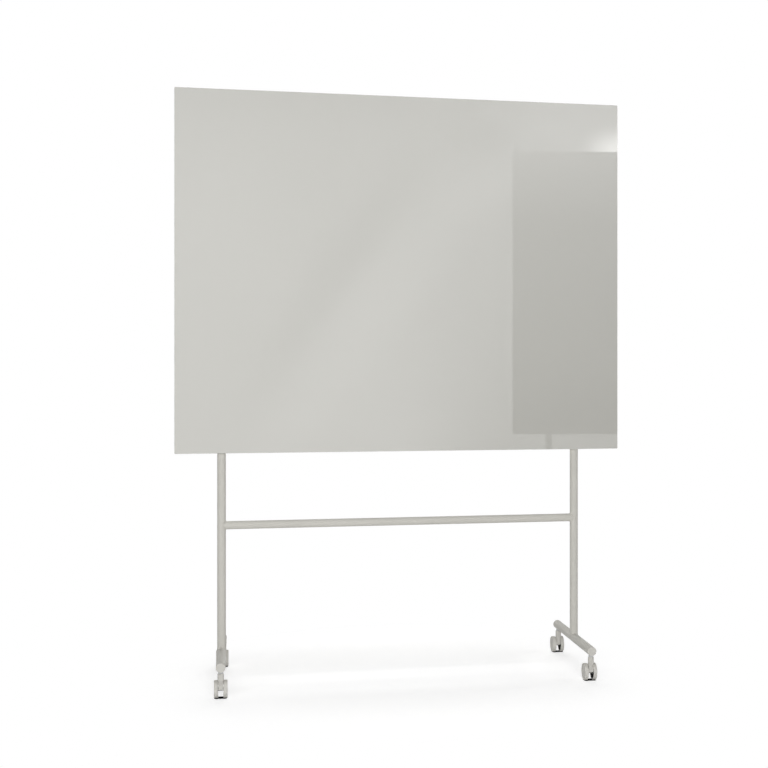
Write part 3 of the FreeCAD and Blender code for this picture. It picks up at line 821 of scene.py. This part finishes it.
@dataclass
class Caster(SubAssembly):
    """One twin-wheel caster with its brake."""

    corner: str
    rib_count: int = 4
    rib_pitch: float = 1.9
    rib_radius: float = 0.55
    rib_margin: float = 2.0
    rib_start: float = 7.6
    cap_rib_count: int = 6
    cap_rib_ring: float = 15.6
    cap_rib_half: Pair = (6.2, 0.9)
    cap_rib_height: float = 0.45
    cap_face_inset: float = 0.52

    def nodes(self) -> dict[str, Slot]:
        """List the solids of the caster.

        Returns:
            Slot of each solid by its name.
        """
        found = {
            f"{self.corner}_caster_housing": Slot.NYLON, f"{self.corner}_caster_axle": Slot.ZINC,
            f"{self.corner}_brake_lever": Slot.NYLON,
        }
        for hand in SIDES:
            wheel = f"{self.corner}_caster_{hand}"
            # The black of the wheel cores is partly painted shade in the gap between the twin wheels
            found |= {f"{wheel}_wheel_core": Slot.BLACK, f"{wheel}_tread": Slot.TREAD}
            found |= {f"{wheel}_hub_cap": Slot.NYLON}
        return found

    def build(self) -> None:
        """Make the grip ribs on the pedal and the ribs on both hub caps."""
        low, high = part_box(f"{self.corner}_brake_lever")
        ribs = GripRibs("pedal_grip_ribs", {
            "Count": self.rib_count, "Pitch": self.rib_pitch * MM,
            "Rib Length": (high.x - low.x) - 2 * self.rib_margin * MM, "Rib Radius": self.rib_radius * MM})
        place = Matrix.Translation(((low.x + high.x) / 2, high.y - self.rib_start * MM, high.z))
        piece = ribs.cast(f"{self.corner}_pedal_ribs", [place], self.finishes[Slot.NYLON])
        self.attach(piece, f"{self.corner}_brake", Slot.NYLON)
        for hand, outward in zip(SIDES, (-1.0, 1.0)):
            self.build_cap(hand, outward)

    def build_cap(self, hand: str, outward: float) -> None:
        """Make the radiating ribs on one hub cap.

        Args:
            hand: Side of the wheel.
            outward: Sign of X towards the wheel's outer face.
        """
        wheel = f"{self.corner}_caster_{hand}"
        low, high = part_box(f"{wheel}_tread")
        face = (high.x if outward > 0 else low.x) - outward * self.cap_face_inset * MM
        ribs = CapRibs("hub_cap_ribs", {
            "Count": self.cap_rib_count, "Ring Radius": self.cap_rib_ring * MM,
            "Half Length": self.cap_rib_half[0] * MM, "Half Width": self.cap_rib_half[1] * MM,
            "Height": self.cap_rib_height * MM})
        place = Matrix.Translation((face, (low.y + high.y) / 2, (low.z + high.z) / 2))
        place = place @ Matrix.Rotation(outward * QUARTER_TURN, 4, "Y")
        piece = ribs.cast(f"{wheel}_cap_ribs", [place], self.finishes[Slot.NYLON])
        self.attach(piece, f"{wheel}_wheel", Slot.NYLON)


# Studio
def panel(name: str, faces: list[list[Point]], material: Material) -> bpy.types.Object:
    """Make a flat stage piece of one or more four-sided faces.

    Args:
        name: Name of the stage piece.
        faces: Corners of each face.
        material: Material of the faces.

    Returns:
        The stage piece.
    """
    shape = bmesh.new()
    for face in faces:
        shape.faces.new([shape.verts.new(Vector(corner) * MM) for corner in face])
    mesh = bpy.data.meshes.new(name)
    shape.to_mesh(mesh)
    shape.free()
    mesh.materials.append(material)
    made = new_object(name, mesh)
    return made


@dataclass(frozen=True)
class Glow:
    """Soft oval card behind the camera, lighter or darker than the wall behind it."""

    name: str
    centre: Pair
    reach: Pair
    tilt_degrees: float
    strength: float

    def material(self, depth: float) -> Material:
        """Even light in the middle of the card that fades to nothing at its rim.

        Args:
            depth: Place of the card along Y.

        Returns:
            The material.
        """
        material, tree = new_material(self.name)
        oval = add_node(tree, "ShaderNodeMapping", {"vector_type": "TEXTURE"}, {
            "Vector": object_place(tree), "Location": Vector((self.centre[0], depth, self.centre[1])) * MM,
            "Rotation": (0.0, -math.radians(self.tilt_degrees), 0.0),
            "Scale": (self.reach[0] * MM, 1.0, self.reach[1] * MM)})
        away = length(tree, oval.outputs["Vector"])
        fade = remap(tree, away, (0.0, 1.0), (1.0, 0.0), Ease.SOFTER)
        surface(tree, mix_shaders(tree, fade, clear(tree), emission(tree, self.strength)))
        return material

    def corners(self, depth: float) -> list[Point]:
        """Find the corners of the tilted card.

        Args:
            depth: Place of the card along Y.

        Returns:
            Its four corners.
        """
        turn = Matrix.Rotation(math.radians(self.tilt_degrees), 2)
        reach_x, reach_z = self.reach
        spots = [Vector(self.centre) + turn @ Vector((x * reach_x, z * reach_z)) for x, z in SQUARE]
        return [(spot.x, depth, spot.y) for spot in spots]


@dataclass(frozen=True)
class Cards:
    """Wall, flag and glows behind the camera that only mirror rays see."""

    depth: float = -5050.0
    wall_gap: float = 120.0
    glow_gap: float = 12.0
    wall_sides: Pair = (-3300.0, 3900.0)
    wall_height: float = 3900.0
    wall_side_rim: float = 1300.0
    wall_low_rim: float = 420.0
    wall_high_rim: float = 750.0
    wall_ramp_x: Pair = (450.0, 1400.0)
    wall_ramp_z: Pair = (470.0, 2940.0)
    wall_level: float = 1.35
    wall_right_levels: Pair = (0.70, 1.62)
    flag_sides: Pair = (1355.0, 2900.0)
    flag_lows: Pair = (582.0, 564.0)
    flag_highs: Pair = (2587.0, 2626.0)
    flag_ramp_z: Pair = (675.0, 2594.0)
    flag_ramp: float = 0.83
    flag_lift_z: Pair = (2107.0, 2594.0)
    flag_lift: float = 0.49
    leg_sides: Pair = (1595.0, 1641.0)
    # Name, middle in X and Z, half width and half height, tilt, strength
    glows: tuple[Glow, ...] = (
        Glow("studio_glow", (2190.0, 2600.0), (430.0, 260.0), 0.0, 4.4),
        Glow("studio_sweep", (340.0, 1400.0), (2200.0, 400.0), 54.6, 1.53),
        Glow("studio_sweep_end", (1180.0, 2340.0), (560.0, 260.0), 35.0, 1.6),
        Glow("studio_streak", (90.0, 1640.0), (1800.0, 300.0), 57.0, 1.14),
        Glow("studio_shade", (1110.0, 2690.0), (380.0, 240.0), 0.0, 1.28),
        Glow("studio_side", (-829.0, 2000.0), (950.0, 950.0), 0.0, 1.46),
        Glow("studio_top", (0.0, 2960.0), (2300.0, 360.0), 0.0, 1.2),
        Glow("studio_corner", (1950.0, 2800.0), (1000.0, 560.0), 0.0, 1.8),
    )

    def wall_material(self) -> Material:
        """Pale wall that falls off towards its lower right and fades out at its rims.

        Returns:
            The material.
        """
        material, tree = new_material("studio_wall")
        axes = split(tree, object_place(tree))
        right = remap(tree, axes["X"], metres(self.wall_ramp_x), ease=Ease.SOFT)
        right_level = remap(tree, axes["Z"], metres(self.wall_ramp_z), self.wall_right_levels)
        level = add_node(tree, "ShaderNodeMix", {"data_type": "FLOAT"}, {
            "Factor": right, NUMBER_A: self.wall_level, NUMBER_B: right_level}).outputs[NUMBER_RESULT]
        near, far = self.wall_sides
        rims = (
            ("X", near, near + self.wall_side_rim),
            ("X", far, far - self.wall_side_rim),
            ("Z", 0.0, self.wall_low_rim),
            ("Z", self.wall_height, self.wall_height - self.wall_high_rim),
        )
        steps = [remap(tree, axes[axis], metres((rim, full)), ease=Ease.SOFT) for axis, rim, full in rims]
        inside = steps[0]
        for step in steps[1:]:
            inside = calc(tree, Sum.MULTIPLY, inside, step)
        surface(tree, mix_shaders(tree, inside, clear(tree), emission(tree, level)))
        return material

    def flag_material(self) -> Material:
        """Dark flag, a little lighter towards its top.

        Returns:
            The material.
        """
        material, tree = new_material("studio_flag_cloth")
        height = split(tree, object_place(tree))["Z"]
        ramp = remap(tree, height, metres(self.flag_ramp_z), (0.0, self.flag_ramp))
        lift = remap(tree, height, metres(self.flag_lift_z), (0.0, self.flag_lift))
        surface(tree, emission(tree, calc(tree, Sum.ADD, ramp, lift)))
        return material

    def stand_card(self, name: str, faces: list[list[Point]], material: Material) -> None:
        """Stand a card that shows in mirror rays and in nothing else.

        Args:
            name: Name of the card.
            faces: Corners of each face.
            material: Material of the faces.
        """
        card = panel(name, faces, material)
        card.visible_camera = False
        card.visible_diffuse = False
        card.visible_transmission = False
        card.visible_shadow = False

    def build(self) -> None:
        """Stand the wall, the flag on its leg and, between the two, the glows."""
        (near, far), tall, wall_y = self.wall_sides, self.wall_height, self.depth - self.wall_gap
        wall = [(near, wall_y, 0), (far, wall_y, 0), (far, wall_y, tall), (near, wall_y, tall)]
        self.stand_card("studio_wall", [wall], self.wall_material())
        (left, right), depth = self.flag_sides, self.depth
        (low, right_low), (high, right_high) = self.flag_lows, self.flag_highs
        leg_left, leg_right = self.leg_sides
        cloth = [
            (left, depth, low), (right, depth, right_low),
            (right, depth, right_high), (left, depth, high)]
        leg = [(leg_left, depth, 0), (leg_right, depth, 0), (leg_right, depth, low), (leg_left, depth, low)]
        self.stand_card("studio_flag", [cloth, leg], self.flag_material())
        for step, glow in enumerate(self.glows, start=1):
            behind = depth - step * self.glow_gap
            self.stand_card(glow.name, [glow.corners(behind)], glow.material(behind))


@dataclass(frozen=True)
class Softbox:
    """One soft lamp of the studio."""

    name: str
    place: Point
    aim: Point
    size: Pair
    watts: float

    def hang(self) -> None:
        """Make the lamp and point it; it lights the object but isn't mirrored in it."""
        lamp = bpy.data.lights.new(self.name, "AREA")
        lamp.shape = "RECTANGLE"
        lamp.size = self.size[0] * MM
        lamp.size_y = self.size[1] * MM
        lamp.energy = self.watts
        made = bpy.data.objects.new(self.name, lamp)
        made.location = Vector(self.place) * MM
        made.rotation_euler = (Vector(self.aim) - Vector(self.place)).to_track_quat("-Z", "Y").to_euler()
        made.visible_glossy = False
        bpy.context.scene.collection.objects.link(made)


@dataclass(frozen=True)
class Studio:
    """Background, floor, lamps, mirrored cards and the camera."""

    world_level: float = 0.17
    floor_reach: float = 30000.0
    # The gain lifts the open floor to the background's white
    floor_gain: float = 1.435
    floor_colour: Colour = (0.80, 0.80, 0.80, 1.0)
    floor_fade: Pair = (350.0, 900.0)
    # Reach, range and samples of the ambient occlusion that paints contact shade into the floor
    painted_shade_reach: float = 40.0
    painted_shade_range: Pair = (0.27, 0.55)
    painted_shade_samples: int = 64
    camera_place: Point = (-547.8, -4766.7, 1033.7)
    camera_yaw_degrees: float = 12.376
    camera_lens: float = 65.437
    camera_sensor: float = 36.0
    camera_shift: Pair = (-0.20833, -0.01788)
    camera_sight: float = 100000.0
    # Name, place, aim, width and height, watts
    lamps: tuple[Softbox, ...] = (
        Softbox("front_softbox", (-600, -5000, 1450), (0, 0, 1000), (2200, 1600), 131),
        Softbox("left_softbox", (-2800, -4400, 1800), (0, 0, 1000), (2000, 1800), 38),
        Softbox("right_softbox", (5200, -200, 1600), (0, 0, 800), (2600, 2400), 36),
        Softbox("front_strip", (0, -820, 4600), (0, -40, 0), (2600, 420), 13.5),
        Softbox("rear_strip", (0, 900, 4600), (0, -40, 0), (2600, 760), 20),
        Softbox("back_softbox", (600, 7000, 2600), (0, 0, 1000), (6500, 3400), 350),
    )

    def seen(self, tree: Tree) -> Socket:
        """Tell the rays that show the background from those that only carry light.

        Args:
            tree: Tree to build in.

        Returns:
            Socket that is 1 for camera, mirror and see-through rays.
        """
        path = add_node(tree, "ShaderNodeLightPath").outputs
        direct = calc(tree, Sum.LARGER, path["Is Camera Ray"], path["Is Glossy Ray"])
        return calc(tree, Sum.LARGER, direct, path["Is Transmission Ray"])

    def background(self) -> None:
        """Make the world white where it is seen, with a plain level where it lights."""
        world = bpy.data.worlds.new("studio_background")
        bpy.context.scene.world = world
        world.use_nodes = True
        tree = world.node_tree
        tree.nodes.clear()
        light = add_node(tree, "ShaderNodeBackground", None, {"Color": WHITE, "Strength": self.world_level})
        shown = add_node(tree, "ShaderNodeBackground", None, {"Color": WHITE, "Strength": 1.0})
        both = mix_shaders(tree, self.seen(tree), light.outputs[0], shown.outputs[0])
        add_node(tree, "ShaderNodeOutputWorld", None, {"Surface": both})

    def floor_material(self) -> Material:
        """White floor whose soft shadows fade into the background, and whose contact shade is painted into
        its colour and glow from ambient occlusion, so that it stays.

        Returns:
            The material.
        """
        material, tree = new_material("white_studio_floor")
        fade = remap(tree, length(tree, object_place(tree)), metres(self.floor_fade), ease=Ease.SOFT)
        # Painted contact shade: ambient occlusion darkens the floor's colour and its glow next to the object
        openness = add_node(tree, "ShaderNodeAmbientOcclusion", {"samples": self.painted_shade_samples}, {
            "Distance": self.painted_shade_reach * MM}).outputs["AO"]
        level = remap(tree, openness, self.painted_shade_range, ease=Ease.SOFT)
        near = diffuse(tree, calc(tree, Sum.MULTIPLY, level, self.floor_gain))
        shown = mix_shaders(tree, fade, near, emission(tree, level))
        surface(tree, mix_shaders(tree, self.seen(tree), diffuse(tree, self.floor_colour), shown))
        return material

    def floor(self) -> None:
        """Lay the floor."""
        square = [(x * self.floor_reach, y * self.floor_reach, 0) for x, y in SQUARE]
        panel("studio_floor", [square], self.floor_material())

    def camera(self) -> None:
        """Stand the camera where the photograph was taken, level, with its shift."""
        lens = bpy.data.cameras.new("photo_camera")
        lens.sensor_fit = "HORIZONTAL"
        lens.sensor_width = self.camera_sensor
        lens.lens = self.camera_lens
        lens.shift_x, lens.shift_y = self.camera_shift
        lens.clip_end = self.camera_sight * MM
        made = bpy.data.objects.new("photo_camera", lens)
        made.location = Vector(self.camera_place) * MM
        made.rotation_euler = (QUARTER_TURN, 0.0, -math.radians(self.camera_yaw_degrees))
        bpy.context.scene.collection.objects.link(made)
        bpy.context.scene.camera = made

    def build(self) -> None:
        """Set up the whole studio."""
        bpy.context.scene.view_settings.view_transform = "Standard"
        self.background()
        self.floor()
        for lamp in self.lamps:
            lamp.hang()
        Cards().build()
        self.camera()


def main() -> None:
    """Dress the solids, build the added pieces and set up the studio."""
    logging.basicConfig(level=logging.INFO, format="%(message)s")
    finishes = {
        Slot.GLASS: GLASS.material(), Slot.POWDER: POWDER.material(), Slot.NYLON: NYLON.material(),
        Slot.BLACK: BLACK.material(), Slot.TREAD: TREAD.material(), Slot.ZINC: ZINC.material(),
    }
    board = Board(finishes)
    board.dress()
    board.build(SEALANT.material())
    stand = Stand(finishes)
    stand.dress()
    stand.build()
    for corner in CORNERS:
        caster = Caster(finishes, corner)
        caster.dress()
        caster.build()
    Studio().build()


if __name__ == "__main__":
    main()
